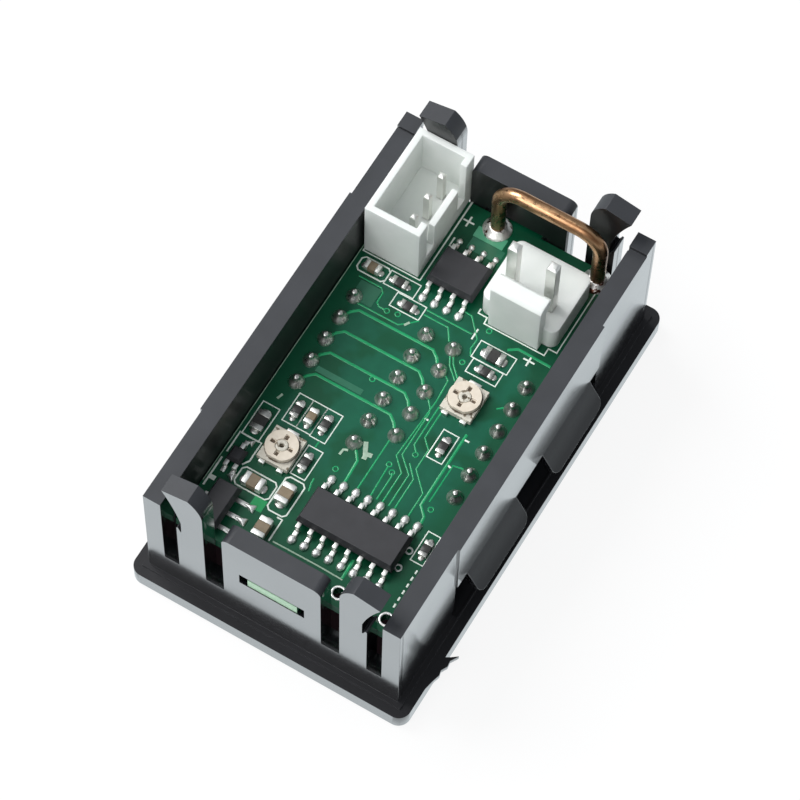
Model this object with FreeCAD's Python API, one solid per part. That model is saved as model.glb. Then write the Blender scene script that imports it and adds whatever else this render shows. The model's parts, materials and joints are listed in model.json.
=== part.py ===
import FreeCAD, Part
import math
import os
from FreeCAD import Vector

# Digital panel meter, lying face down on its bezel with the open rear of the case upwards.
# Origin: centre of the bezel's front face. +X runs along the case to the connector end,
# +Y to the socket's side, +Z from the front face to the rear. All sizes in millimetres.

os.makedirs("parts", exist_ok=True)

# Case
bezel_length = 48.0
bezel_width = 29.0
bezel_thickness = 2.1
bezel_corner = 1.2
bezel_edge_round = 0.35
front_lip = 0.6
lip_overlap = 1.1
bezel_overhang = 1.4
rim_height = 16.8
side_wall = 1.85
end_wall = 1.85
plinth_out = 0.5
plinth_rise = 0.2

# Stepped middle of the long walls and raised blocks at the connector end
middle_half = 12.8
middle_step = 0.2
corner_block_length = 1.7
corner_block_rise = 0.4

# Snap wings, two on each long side
wing_gap = 4.8
wing_length = 8.7
wing_hinge_height = 8.75
wing_reach = 1.6
wing_drop = 2.9
wing_thickness = 0.8
wing_corner = 1.0
wing_root = 0.5

# Each end wall: a centre tab, a latch finger on each side of it, and slots between
tab_socket_gap = 0.05
tab_corner = 0.8
inner_slot = 1.9
finger_width = 2.8
outer_slot = 1.55
slot_floor = 5.8
finger_height = 20.8
finger_beak_drop = 0.6
finger_beak_out = 1.3
finger_neck = 0.5
finger_neck_base = 13.4
finger_neck_top = 15.3
finger_lug_rise = 0.7
finger_shoulder = 1.4
finger_shoulder_drop = 2.7
finger_set_out = 0.5

# Torn flash on one long edge of the bezel
burr_start = 3.8
burr_thickness = 0.6

# Circuit board, carried by a lug in a window at each end
board_thickness = 1.2
board_rear = 10.7
board_gap = 0.1
lug_half = 2.55
lug_recess = 0.1
window_half = 3.35
window_height = 1.65
ring_hole = 0.5
ring_end_gap = 1.35
ring_places = (-0.44, -0.876)

# Tinted front window and the two LED display modules behind it
window_thickness = 1.2
display_near_gap = 9.75
display_end_gap = 9.25
display_side_share = 0.0889
display_middle_gap = 0.5
display_height = 7.2
display_standoff = 0.15
digit_pitch_share = 0.329
digit_height = 7.1
digit_width = 4.0
digit_slant = 8.0
segment_width = 0.75
segment_gap = 0.2
segment_thickness = 0.1
segment_point = 0.3
dot_radius = 0.4
dot_gap = 1.0

# Display pins: an inner and an outer row on each module
pin_pitch = 2.54
row_spacing = 7.62
pin_columns = 6
pin_radius = 0.25
pin_height = 1.05
dome_sides = 12
pin_sides = 8
hole_clearance = 0.1
seat_clearance = 0.02
dome_radius = 0.85
dome_top = 0.36
dome_height = 0.75

# Three-pin socket
socket_length = 9.9
socket_width = 5.75
socket_height = 7.7
socket_wall = 0.65
socket_floor = 2.1
socket_end_gap = 0.05
socket_pin_pitch = 2.5
socket_pin = 0.64
socket_pin_offset = 0.9
socket_pin_height = 6.0
socket_slot = 1.3
socket_end_post = 1.5
socket_slot_floor = 1.7
socket_key_height = 5.3

# Two-pin locking header
header_length = 7.86
header_depth = 6.95
header_base = 3.0
header_end_gap = 2.55
header_corner = 0.8
lock_width = 5.2
lock_thickness = 1.15
lock_proud = 0.8
lock_height = 7.0
lock_hook = 0.85
lock_hook_height = 1.7
lock_round = 0.35
header_pin_pitch = 3.96
header_pin = 1.0
header_pin_back = 1.18
header_pin_height = 10.6
pin_tail = 1.0
pin_chamfer = 0.2

# Copper shunt wire
shunt_radius = 0.7
shunt_end_gap = 1.25
shunt_side_gap = 2.1
shunt_header_gap = 2.87
shunt_height = 7.7
shunt_bend = 2.4
shunt_joint_radius = 1.1
shunt_joint_wall = 0.25
shunt_joint_height = 0.7

# Chips
chip_pitch = 1.27
chip_width = 3.9
chip_height = 1.5
chip_standoff = 0.12
chip_taper = 0.28
lead_span = 6.1
lead_width = 0.42
lead_thickness = 0.22
lead_foot = 0.75
lead_exit = 0.75
amplifier_length = 4.9
controller_length = 9.9
solder_length = 0.9
solder_width = 0.62
solder_height = 0.3

# Regulator and small transistor
regulator_length = 4.5
regulator_width = 2.5
regulator_height = 1.5
regulator_pitch = 1.5
regulator_lead = 1.0
regulator_lead_width = 0.44
regulator_tab = 1.7
regulator_tab_out = 0.5
regulator_inset = 0.4
transistor_length = 1.55
transistor_width = 1.5
transistor_height = 1.1
transistor_lead = 0.55
transistor_spread = 0.45

# Trimmers
trimmer_length = 3.5
trimmer_width = 3.2
trimmer_base = 0.65
trimmer_rotor_radius = 1.55
trimmer_rotor_height = 0.5
trimmer_running_gap = 0.05
trimmer_pivot_radius = 0.58
trimmer_pivot_hole = 0.24
trimmer_slot_width = 0.4
trimmer_slot_length = 2.3
trimmer_slot_depth = 0.22
trimmer_flat = 0.12
trimmer_tab = 0.35
trimmer_tab_height = 0.4
trimmer_tab_spread = 0.95
trimmer_small_tab = 0.6
trimmer_wide_tab = 1.2

# Chip resistors and capacitors
resistor_size = (1.6, 0.85, 0.45)
large_resistor = (2.0, 1.25, 0.5)
small_capacitor = (1.6, 0.85, 0.75)
large_capacitor = (2.0, 1.25, 0.85)
terminal_share = 0.27

# Places on the board, as shares of its half length and half width, so that they move with it
controller_place = (-0.6627, -0.2844)
amplifier_place = 0.6313
regulator_place = (-0.8627, 0.7556)
transistor_place = (-0.6193, 0.8533)
trimmer_places = ((-0.4892, 0.5822), (0.1205, -0.4444))
resistor_places = (
    (0.3918, 0.3778, "y", resistor_size), (0.3735, -0.4471, "y", large_resistor),
    (0.2882, -0.4578, "y", resistor_size), (-0.1157, -0.5022, "x", resistor_size),
    (-0.4193, 0.8622, "x", large_resistor), (-0.2916, 0.6622, "x", resistor_size),
    (-0.2882, 0.4, "x", resistor_size), (-0.4877, 0.3644, "x", resistor_size),
    (-0.573, -0.84, "x", resistor_size),
)
capacitor_places = (
    (-0.293, 0.528, "x", small_capacitor), (-0.6882, 0.6204, "y", large_capacitor),
    (-0.6655, 0.3502, "x", large_capacitor), (-0.853, 0.3538, "x", large_capacitor),
)

# Between the last display pins and the socket: shares of the free length, and of the half width
socket_resistor_place = (0.667, 0.5476)
socket_capacitor_place = (0.664, 0.8044)

# How the header, the amplifier and the socket, in a row across the board, share its free width
gap_before_header = 0.481
gap_before_amplifier = 0.193
gap_after_socket = 0.1

# Sizes that follow from those above
body_length = bezel_length - 2 * bezel_overhang
body_width = bezel_width - 2 * bezel_overhang
board_front = board_rear - board_thickness
cavity_length = body_length - 2 * end_wall
cavity_width = body_width - 2 * side_wall
connector_end = cavity_length / 2
wall_side = cavity_width / 2
display_length = cavity_length - display_near_gap - display_end_gap
display_x = (display_near_gap - display_end_gap) / 2
digit_pitch = digit_pitch_share * display_length
display_width = wall_side * (1 - display_side_share) - display_middle_gap / 2
display_y = (display_width + display_middle_gap) / 2
free_width = cavity_width - header_length - amplifier_length - socket_width
socket_x = connector_end + finger_set_out - socket_end_gap - socket_length / 2
socket_y = wall_side - gap_after_socket * free_width - socket_width / 2
header_x = connector_end - header_end_gap - header_depth / 2
header_y = gap_before_header * free_width - wall_side + header_length / 2
header_pin_x = header_x - header_pin_back
amplifier_x = amplifier_place * connector_end
amplifier_y = (header_y + header_length / 2 + gap_before_amplifier * free_width
               + amplifier_length / 2)
shunt_x = connector_end - shunt_end_gap
shunt_y = (header_y + header_length / 2 + shunt_header_gap, shunt_side_gap - wall_side)
controller_x = controller_place[0] * connector_end
controller_y = controller_place[1] * wall_side
regulator_x = regulator_place[0] * connector_end
regulator_y = regulator_place[1] * wall_side
transistor_x = transistor_place[0] * connector_end
transistor_y = transistor_place[1] * wall_side
tab_half = socket_y - socket_width / 2 - tab_socket_gap
finger_inner = tab_half + inner_slot
finger_outer = finger_inner + finger_width
post_inner = finger_outer + outer_slot


def box(x0, x1, y0, y1, z0, z1):
    """A box between two corners."""
    return Part.makeBox(x1 - x0, y1 - y0, z1 - z0, Vector(x0, y0, z0))


def block(x, y, length, width, z0, height):
    """A box centred on x, y and standing on z0."""
    return box(x - length / 2, x + length / 2, y - width / 2, y + width / 2, z0, z0 + height)


def cylinder(x, y, z0, radius, height):
    return Part.makeCylinder(radius, height, Vector(x, y, z0))


def faceted(x, y, z0, base_radius, top_radius, height, sides):
    """A small round post or cone with flat sides, which keeps its facets few."""
    turns = [2 * math.pi * (k + 0.5) / sides for k in range(sides)]
    low = [Vector(x + base_radius * math.cos(a), y + base_radius * math.sin(a), z0) for a in turns]
    high = [Vector(x + top_radius * math.cos(a), y + top_radius * math.sin(a), z0 + height)
            for a in turns]
    outlines = [low, high]
    for k in range(sides):
        outlines.append([low[k - 1], low[k], high[k], high[k - 1]])
    shell = Part.makeShell([Part.Face(Part.makePolygon(points + points[:1])) for points in outlines])
    shell.sewShape()
    solid = Part.Solid(shell)
    if solid.Volume < 0:
        solid.reverse()
    return solid


def prism(points, direction):
    """A closed outline of points, extruded along direction."""
    wire = Part.makePolygon(points + points[:1])
    return Part.Face(wire).extrude(direction)


def fillet(shape, radius, keep):
    """Round the edges of shape that keep() picks."""
    edges = [edge for edge in shape.Edges if keep(edge)]
    return shape.makeFillet(radius, edges)


def is_upright(edge):
    ends = edge.Vertexes
    if len(ends) != 2:
        return False
    step = ends[1].Point - ends[0].Point
    return abs(step.x) < 1e-6 and abs(step.y) < 1e-6


def mirrored_y(shape):
    return shape.mirror(Vector(0, 0, 0), Vector(0, 1, 0))


def mirrored_x(shape):
    return shape.mirror(Vector(0, 0, 0), Vector(1, 0, 0))


def save(name, solids):
    """Write one node: a single solid, or a group of separate ones."""
    solids = solids if isinstance(solids, list) else [solids]
    shapes = [solid.removeSplitter() for solid in solids]
    shape = shapes[0] if len(shapes) == 1 else Part.makeCompound(shapes)
    shape.exportStep(f"parts/{name}.step")


# Housing

def bezel():
    """The flange that overlaps the panel, with rounded corners and front edge."""
    plate = block(0, 0, bezel_length, bezel_width, 0, bezel_thickness)
    plate = fillet(plate, bezel_corner, is_upright)
    front = [edge for edge in plate.Edges if edge.BoundBox.ZMax < 1e-6]
    return plate.makeFillet(bezel_edge_round, front)


def latch_finger():
    """One finger of the near end wall on the +Y side: a stem, a lug and a hooked head."""
    beak_y = finger_outer + finger_beak_out
    neck_y = finger_outer - finger_neck
    lug_top = finger_neck_base + finger_lug_rise
    shoulder_z = finger_height - finger_shoulder_drop
    beak_z = finger_height - finger_beak_drop
    x = -body_length / 2
    at = lambda y, z: Vector(x, y, z)
    edges = [
        Part.LineSegment(at(finger_inner, slot_floor - 0.5), at(finger_outer, slot_floor - 0.5)),
        Part.LineSegment(at(finger_outer, slot_floor - 0.5), at(finger_outer, lug_top - 0.15)),
        Part.LineSegment(at(finger_outer, lug_top - 0.15), at(finger_outer - 0.15, lug_top)),
        Part.LineSegment(at(finger_outer - 0.15, lug_top), at(neck_y + 0.06, finger_neck_base)),
        Part.LineSegment(at(neck_y + 0.06, finger_neck_base), at(neck_y, finger_neck_base + 0.1)),
        Part.LineSegment(at(neck_y, finger_neck_base + 0.1), at(neck_y, finger_neck_top)),
        Part.Arc(at(neck_y, finger_neck_top), at(neck_y + 0.45, finger_neck_top + 1.7), at(beak_y, beak_z)),
        Part.LineSegment(at(beak_y, beak_z), at(finger_inner + finger_shoulder, finger_height)),
        Part.Arc(at(finger_inner + finger_shoulder, finger_height),
                 at(finger_inner + 0.3 * finger_shoulder, shoulder_z + 0.62 * finger_shoulder_drop),
                 at(finger_inner, shoulder_z)),
        Part.LineSegment(at(finger_inner, shoulder_z), at(finger_inner, slot_floor - 0.5)),
    ]
    outline = Part.Wire([edge.toShape() for edge in edges])
    return Part.Face(outline).extrude(Vector(end_wall, 0, 0))


def set_out_finger():
    """The connector end's finger on the +Y side: stepped outwards, on a sloped root."""
    finger = mirrored_x(latch_finger())
    finger.translate(Vector(finger_set_out, 0, 0))
    x = body_length / 2
    z = slot_floor - 0.5
    root = prism([Vector(x - 0.1, finger_inner, z), Vector(x + finger_set_out, finger_inner, z),
                  Vector(x - 0.1, finger_inner, z - finger_set_out - 0.1)], Vector(0, finger_width, 0))
    return finger.fuse(root)


def snap_wing(x0):
    """A wing of the +Y side: hinged under the wall's middle section, flared out and down."""
    outer_y = body_width / 2 + middle_step
    slope = math.hypot(wing_reach, wing_drop)
    plate = box(0, wing_length, -slope, wing_root, -wing_thickness, 0)
    bottom = lambda edge: edge.BoundBox.YMax < -slope + 1e-6 and edge.BoundBox.ZLength > 1e-6
    plate = fillet(plate, wing_corner, bottom)
    plate.rotate(Vector(0, 0, 0), Vector(1, 0, 0), 90)
    plate.rotate(Vector(0, 0, 0), Vector(0, 0, 1), 180)
    plate.rotate(Vector(0, 0, 0), Vector(1, 0, 0), math.degrees(math.atan2(wing_reach, wing_drop)))
    plate.translate(Vector(x0 + wing_length, outer_y, wing_hinge_height))
    return plate


def wall_window():
    """The opening in the +Y wall that the two wings hang in."""
    y0 = body_width / 2 - side_wall - 0.1
    y1 = body_width / 2 + middle_step + 0.1
    return box(-middle_half, middle_half, y0, y1, bezel_thickness, wing_hinge_height)


def end_slots():
    """What is cut from the near end wall: both slots of the +Y side, with the finger's place."""
    x0 = -body_length / 2 - 0.1
    x1 = -body_length / 2 + end_wall + 0.1
    return box(x0, x1, tab_half, post_inner, slot_floor, rim_height + 1)


def tab_rounding():
    """What rounds the near tab's upper corner on the +Y side."""
    x = -body_length / 2 - 0.1
    corner = box(x, x + end_wall + 0.2, tab_half - tab_corner, tab_half + 0.1,
                 rim_height - tab_corner, rim_height + 0.1)
    axis = Vector(x, tab_half - tab_corner, rim_height - tab_corner)
    return corner.cut(Part.makeCylinder(tab_corner, end_wall + 0.2, axis, Vector(1, 0, 0)))


def board_window():
    """The slot in the near tab that the board's lug sits in."""
    x0 = -body_length / 2 - 0.1
    return box(x0, x0 + end_wall + 0.2, -window_half, window_half,
               board_front, board_front + window_height)


def torn_burr():
    """A ragged flake of flash on the bezel's -Y edge."""
    edge_y = -bezel_width / 2
    steps = ((0.0, 0.05), (0.0, 0.0), (1.0, -0.2), (1.8, -0.42), (2.3, -0.3), (2.9, -0.62),
             (3.5, -0.55), (4.3, -1.0), (3.85, -0.42), (3.6, 0.0), (3.6, 0.05))
    z0 = bezel_thickness - burr_thickness
    x0 = burr_start - bezel_length / 2
    points = [Vector(x0 + along, edge_y + out, z0) for along, out in steps]
    return prism(points, Vector(0, 0, burr_thickness))


def housing():
    body = block(0, 0, body_length, body_width, 0, rim_height)
    middle = block(0, 0, 2 * middle_half, body_width + 2 * middle_step, wing_hinge_height,
                   rim_height - wing_hinge_height)
    plinth = block(0, 0, body_length + 2 * plinth_out, body_width + 2 * plinth_out, 0,
                   bezel_thickness + plinth_rise)
    shell = bezel().fuse([body, middle, plinth])
    cavity = block(0, 0, cavity_length, cavity_width, front_lip, rim_height)
    opening = block(0, 0, cavity_length - 2 * lip_overlap, cavity_width - 2 * lip_overlap, -1,
                    front_lip + 2)
    cuts = [cavity, opening]
    for half in (end_slots(), tab_rounding(), board_window()):
        for end in (half, mirrored_x(half)):
            cuts += [end, mirrored_y(end)]
    cuts += [wall_window(), mirrored_y(wall_window())]
    shell = shell.cut(cuts)

    added = []
    for finger in (latch_finger(), set_out_finger()):
        added += [finger, mirrored_y(finger)]
    for x0 in (wing_gap / 2, -wing_gap / 2 - wing_length):
        wing = snap_wing(x0)
        added += [wing, mirrored_y(wing)]
    corner_block = box(body_length / 2 - corner_block_length, body_length / 2,
                       body_width / 2 - side_wall, body_width / 2,
                       rim_height - 0.5, rim_height + corner_block_rise)
    added += [corner_block, mirrored_y(corner_block), torn_burr()]
    return shell.fuse(added)


# Board, window and displays

def pin_places(side):
    """Centres of the display pins: side is +1 for the voltage module, -1 for the current one."""
    first = display_x + pin_pitch * (pin_columns - 1) / 2
    places = []
    for row in (1, -1):
        y = side * display_y + row * row_spacing / 2
        columns = pin_columns - 1 if row == 1 else pin_columns
        places += [(first - k * pin_pitch, y) for k in range(columns)]
    return places


def socket_pin_places():
    y = socket_y - socket_pin_offset
    return [(socket_x + k * socket_pin_pitch, y) for k in (-1, 0, 1)]


def header_pin_places():
    return [(header_pin_x, header_y + k * header_pin_pitch / 2) for k in (1, -1)]


def circuit_board():
    board = block(0, 0, cavity_length - 2 * board_gap, cavity_width - 2 * board_gap,
                  board_front, board_thickness)
    lug = block(0, 0, body_length - 2 * lug_recess, 2 * lug_half, board_front, board_thickness)
    board = board.fuse(lug)
    z0 = board_front - 1
    depth = board_thickness + 2
    holes = []
    for side in (1, -1):
        for x, y in pin_places(side):
            radius = pin_radius + hole_clearance
            holes.append(faceted(x, y, z0, radius, radius, depth, pin_sides))
    for x, y in socket_pin_places():
        holes.append(block(x, y, socket_pin + 2 * hole_clearance, socket_pin + 2 * hole_clearance, z0, depth))
    for x, y in header_pin_places():
        holes.append(block(x, y, header_pin + 2 * hole_clearance, header_pin + 2 * hole_clearance, z0, depth))
    for y in shunt_y:
        holes.append(cylinder(shunt_x, y, z0, shunt_radius + hole_clearance, depth))
    for y in ring_places:
        holes.append(cylinder(ring_end_gap - connector_end, y * wall_side, z0, ring_hole, depth))
    return board.cut(holes)


def front_window():
    return block(0, 0, cavity_length - 2 * board_gap, cavity_width - 2 * board_gap,
                 front_lip, window_thickness)


def display_module(side):
    z0 = board_front - display_standoff - display_height
    return block(display_x, side * display_y, display_length, display_width, z0, display_height)


def segment(length, upright):
    """One six-sided segment, centred on the origin, flat in XY."""
    half = length / 2
    wide = segment_width / 2
    tip = half - segment_point
    outline = ((half, 0), (tip, wide), (-tip, wide), (-half, 0), (-tip, -wide), (tip, -wide))
    if upright:
        outline = [(y, x) for x, y in outline]
    return prism([Vector(x, y, 0) for x, y in outline], Vector(0, 0, segment_thickness))


def display_segments(side):
    """Three slanted digits and their decimal points, on the front face of one module."""
    half_height = (digit_height - segment_width) / 2
    half_width = (digit_width - segment_width) / 2
    bar = 2 * half_width - 2 * segment_gap
    post = half_height - 2 * segment_gap
    z0 = board_front - display_standoff - display_height - segment_thickness
    slant = math.tan(math.radians(digit_slant))
    solids = []
    for k in (-1, 0, 1):
        marks = [(0, v * half_height, segment(bar, False)) for v in (-1, 0, 1)]
        for u in (-1, 1):
            marks += [(u * half_width, v * half_height / 2, segment(post, True)) for v in (-1, 1)]
        for u, v, mark in marks:
            x = display_x + k * digit_pitch + u + slant * v
            mark.translate(Vector(x, side * display_y + v, z0))
            solids.append(mark)
        dot_x = display_x + k * digit_pitch - half_width - dot_gap
        dot_y = side * display_y - half_height
        solids.append(faceted(dot_x, dot_y, z0, dot_radius, dot_radius, segment_thickness, pin_sides))
    return solids


def display_pins(side):
    z0 = board_front - display_standoff
    height = display_standoff + board_thickness + pin_height
    return [faceted(x, y, z0, pin_radius, pin_radius, height, pin_sides)
            for x, y in pin_places(side)]


def solder_dome(x, y, base_radius, top_radius, height, bore):
    """A cone of solder round a pin, on the board's rear face."""
    return faceted(x, y, board_rear, base_radius, top_radius, height, dome_sides).cut(bore)


def display_solder(side):
    domes = []
    for x, y in pin_places(side):
        radius = pin_radius + seat_clearance
        bore = faceted(x, y, board_rear - 1, radius, radius, dome_height + 2, pin_sides)
        domes.append(solder_dome(x, y, dome_radius, dome_top, dome_height, bore))
    return domes


# Connectors

def square_pin(x, y, size, height):
    """A square post through the board, with a chamfered tip."""
    z0 = board_front - pin_tail
    post = block(x, y, size, size, z0, board_thickness + pin_tail + height)
    tip = post.BoundBox.ZMax - 1e-6
    edges = [edge for edge in post.Edges if edge.BoundBox.ZMin > tip]
    return post.makeChamfer(min(pin_chamfer, size / 4), edges)


def three_pin_socket():
    shell = block(socket_x, socket_y, socket_length, socket_width, board_rear, socket_height)
    inside = block(socket_x, socket_y, socket_length - 2 * socket_wall, socket_width - 2 * socket_wall,
                   board_rear + socket_floor, socket_height)
    right = socket_y - socket_width / 2
    inner_right = right + socket_wall + 0.1
    key_half = socket_length / 2 - socket_end_post
    low = box(socket_x - key_half, socket_x + key_half, right - 0.1, inner_right,
              board_rear + socket_key_height, board_rear + socket_height + 1)
    cuts = [inside, low]
    for x0 in (socket_x - key_half, socket_x + key_half - socket_slot):
        cuts.append(box(x0, x0 + socket_slot, right - 0.1, inner_right,
                        board_rear + socket_slot_floor, board_rear + socket_height + 1))
    size = socket_pin + 2 * seat_clearance
    for x, y in socket_pin_places():
        cuts.append(block(x, y, size, size, board_rear - 1, socket_floor + 2))
    return shell.cut(cuts)


def two_pin_header():
    base = block(header_x, header_y, header_depth, header_length, board_rear, header_base)
    base = fillet(base, header_corner, is_upright)
    lock_x0 = header_x - header_depth / 2 - lock_proud
    lock_x1 = lock_x0 + lock_thickness
    top = board_rear + lock_height
    hook_z = top - lock_hook_height
    outline = ((lock_x0, board_rear), (lock_x1, board_rear), (lock_x1, hook_z),
               (lock_x1 + lock_hook, hook_z + lock_hook), (lock_x1 + lock_hook, top - lock_round),
               (lock_x1 + lock_hook - lock_round, top), (lock_x0 + lock_round, top),
               (lock_x0, top - lock_round))
    y0 = header_y - lock_width / 2
    lock = prism([Vector(x, y0, z) for x, z in outline], Vector(0, lock_width, 0))
    foot = box(lock_x0, header_x, header_y - lock_width / 2, header_y + lock_width / 2,
               board_rear, board_rear + header_base)
    body = base.fuse([lock, foot])
    size = header_pin + 2 * seat_clearance
    holes = [block(x, y, size, size, board_rear - 1, header_base + 2) for x, y in header_pin_places()]
    return body.cut(holes)


def shunt_wire():
    """A round wire bent into a wide staple, with both legs through the board."""
    y0, y1 = shunt_y
    bottom = board_front - pin_tail
    top = board_rear + shunt_height
    bend = shunt_bend
    knee = bend * (1 - math.sqrt(0.5))
    at = lambda y, z: Vector(shunt_x, y, z)
    edges = [
        Part.LineSegment(at(y0, bottom), at(y0, top - bend)),
        Part.Arc(at(y0, top - bend), at(y0 - knee, top - knee), at(y0 - bend, top)),
        Part.LineSegment(at(y0 - bend, top), at(y1 + bend, top)),
        Part.Arc(at(y1 + bend, top), at(y1 + knee, top - knee), at(y1, top - bend)),
        Part.LineSegment(at(y1, top - bend), at(y1, bottom)),
    ]
    path = Part.Wire([edge.toShape() for edge in edges])
    section = Part.Wire(Part.makeCircle(shunt_radius, at(y0, bottom), Vector(0, 0, 1)))
    return path.makePipeShell([section], True, False)


def shunt_joint(y):
    bore = cylinder(shunt_x, y, board_rear - 1, shunt_radius + seat_clearance, shunt_joint_height + 2)
    top = shunt_radius + shunt_joint_wall
    return solder_dome(shunt_x, y, shunt_joint_radius, top, shunt_joint_height, bore)


# Chips

def tapered_block(x, y, length, width, z0, height):
    """A moulded chip body, a little smaller at its top and bottom than at its middle."""
    def outline(z, inset):
        a = length / 2 - inset
        b = width / 2 - inset
        corners = [Vector(x - a, y - b, z), Vector(x + a, y - b, z), Vector(x + a, y + b, z),
                   Vector(x - a, y + b, z)]
        return Part.makePolygon(corners + corners[:1])
    middle = z0 + height / 2
    lower = Part.makeLoft([outline(z0, chip_taper), outline(middle, 0)], True, True)
    upper = Part.makeLoft([outline(middle, 0), outline(z0 + height, chip_taper)], True, True)
    return lower.fuse(upper)


def gull_lead(x, y, side, body_half, z_exit, reach, width):
    """One bent lead from the body's side face out and down to the board."""
    thick = lead_thickness
    shoulder = reach - lead_foot
    profile = ((body_half, z_exit), (body_half, z_exit + thick), (shoulder + thick, z_exit + thick),
               (shoulder + 1.2 * thick, board_rear + thick), (reach, board_rear + thick),
               (reach, board_rear), (shoulder, board_rear), (shoulder - 0.2 * thick, z_exit))
    points = [Vector(x + side * along, y - width / 2, z) for along, z in profile]
    return prism(points, Vector(0, width, 0))


def lead_rows(x, y, count):
    """The leads of a chip whose two rows face -X and +X."""
    z_exit = board_rear + chip_standoff + chip_height / 2 - lead_thickness / 2
    first = (count / 2 - 1) * chip_pitch / 2
    ys = [y - first + k * chip_pitch for k in range(count // 2)]
    return [gull_lead(x, at, side, chip_width / 2, z_exit, lead_span / 2, lead_width)
            for side in (-1, 1) for at in ys]


def chip_body(x, y, length):
    return tapered_block(x, y, chip_width, length, board_rear + chip_standoff, chip_height)


def lead_solder(x, y, count):
    """A small wedge of solder at the toe of each lead."""
    first = (count / 2 - 1) * chip_pitch / 2
    wedges = []
    for side in (-1, 1):
        for k in range(count // 2):
            at = y - first + k * chip_pitch
            toe = x + side * lead_span / 2
            points = [Vector(toe, at - solder_width / 2, board_rear),
                      Vector(toe, at - solder_width / 2, board_rear + solder_height),
                      Vector(toe + side * solder_length, at - solder_width / 2, board_rear)]
            wedges.append(prism(points, Vector(0, solder_width, 0)))
    return wedges


def regulator_body():
    return tapered_block(regulator_x, regulator_y, regulator_length, regulator_width,
                         board_rear + lead_thickness, regulator_height)


def regulator_leads():
    """Three straight leads towards -Y and a heat tab towards +Y, flat on the board."""
    front = regulator_y - regulator_width / 2
    back = regulator_y + regulator_width / 2
    half = regulator_lead_width / 2
    leads = []
    for k in (-1, 0, 1):
        x = regulator_x + k * regulator_pitch
        leads.append(box(x - half, x + half, front - regulator_lead, front + regulator_inset,
                         board_rear, board_rear + lead_thickness))
    half = regulator_tab / 2
    leads.append(box(regulator_x - half, regulator_x + half, back - 2 * regulator_inset,
                     back + regulator_tab_out, board_rear, board_rear + lead_thickness))
    return leads


def transistor_body():
    return tapered_block(transistor_x, transistor_y, transistor_length, transistor_width,
                         board_rear + 0.1, transistor_height - 0.1)


def transistor_leads():
    half = transistor_length / 2
    z_exit = board_rear + 0.1 + (transistor_height - 0.1) / 2 - lead_thickness / 2
    reach = half + transistor_lead + 0.35
    leads = []
    for side, dy in ((1, 0), (-1, transistor_spread), (-1, -transistor_spread)):
        leads.append(gull_lead(transistor_x, transistor_y + dy, side, half, z_exit,
                               reach + lead_foot / 2 - 0.2, lead_width))
    return leads


# Trimmers

def trimmer_base_block(x, y):
    """The square base with a hollow pivot that the rotor turns on."""
    base = block(x, y, trimmer_length, trimmer_width, board_rear, trimmer_base)
    top = board_rear + trimmer_base
    pivot = cylinder(x, y, top - 0.1, trimmer_pivot_radius,
                     trimmer_running_gap + trimmer_rotor_height + 0.1)
    hole = cylinder(x, y, top - 0.2, trimmer_pivot_hole, trimmer_rotor_height + 1)
    return base.fuse(pivot).cut(hole)


def trimmer_rotor(x, y):
    """The turning disc: a cross slot for the screwdriver, a flat on its rim and a bore."""
    z0 = board_rear + trimmer_base + trimmer_running_gap
    disc = cylinder(x, y, z0, trimmer_rotor_radius, trimmer_rotor_height)
    slot_z = z0 + trimmer_rotor_height - trimmer_slot_depth
    cuts = [cylinder(x, y, z0 - 1, trimmer_pivot_radius + trimmer_running_gap, 3)]
    cuts.append(block(x, y, trimmer_slot_length, trimmer_slot_width, slot_z, 1))
    cuts.append(block(x, y, trimmer_slot_width, trimmer_slot_length, slot_z, 1))
    flat_x = x - trimmer_rotor_radius + trimmer_flat
    cuts.append(box(flat_x - 1, flat_x, y - 2, y + 2, z0 - 1, z0 + 2))
    return disc.cut(cuts)


def trimmer_tabs(x, y):
    """Solder tabs: two at one end of the base, one at the other."""
    half = trimmer_length / 2
    tabs = []
    for side, dy, width in ((-1, trimmer_tab_spread, trimmer_small_tab),
                            (-1, -trimmer_tab_spread, trimmer_small_tab), (1, 0, trimmer_wide_tab)):
        x0, x1 = sorted((x + side * half, x + side * (half + trimmer_tab)))
        tabs.append(box(x0, x1, y + dy - width / 2, y + dy + width / 2,
                        board_rear, board_rear + trimmer_tab_height))
    return tabs


# Chip resistors and capacitors

def chip_part(x, y, axis, size):
    """The ceramic middle and the two tinned ends of one chip component."""
    length, width, height = size
    cap = terminal_share * length
    pieces = []
    for offset, span in ((0, length - 2 * cap), (-(length - cap) / 2, cap), ((length - cap) / 2, cap)):
        if axis == "x":
            pieces.append(block(x + offset, y, span, width, board_rear, height))
        else:
            pieces.append(block(x, y + offset, width, span, board_rear, height))
    return pieces


def on_board(along, across):
    """A place given as shares of the board's half length and half width."""
    return along * connector_end, across * wall_side


def beside_socket(along, across):
    """A place between the last display pins and the socket, for an upright chip part."""
    start = display_x + pin_pitch * (pin_columns - 1) / 2 + dome_radius
    width = resistor_size[1]
    free = socket_x - socket_length / 2 - start - width
    return start + along * free + width / 2, across * wall_side


# Write every node

save("housing", housing())
save("front_window", front_window())
save("circuit_board", circuit_board())
for side, name in ((1, "voltage"), (-1, "current")):
    save(f"{name}_display", display_module(side))
    save(f"{name}_segments", display_segments(side))
    save(f"{name}_display_pins", display_pins(side))
    save(f"{name}_display_solder", display_solder(side))

save("three_pin_socket", three_pin_socket())
for number, (x, y) in enumerate(socket_pin_places(), 1):
    save(f"socket_pin_{number}", square_pin(x, y, socket_pin, socket_pin_height))
save("two_pin_header", two_pin_header())
for number, (x, y) in enumerate(header_pin_places(), 1):
    save(f"header_pin_{number}", square_pin(x, y, header_pin, header_pin_height))

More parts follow.
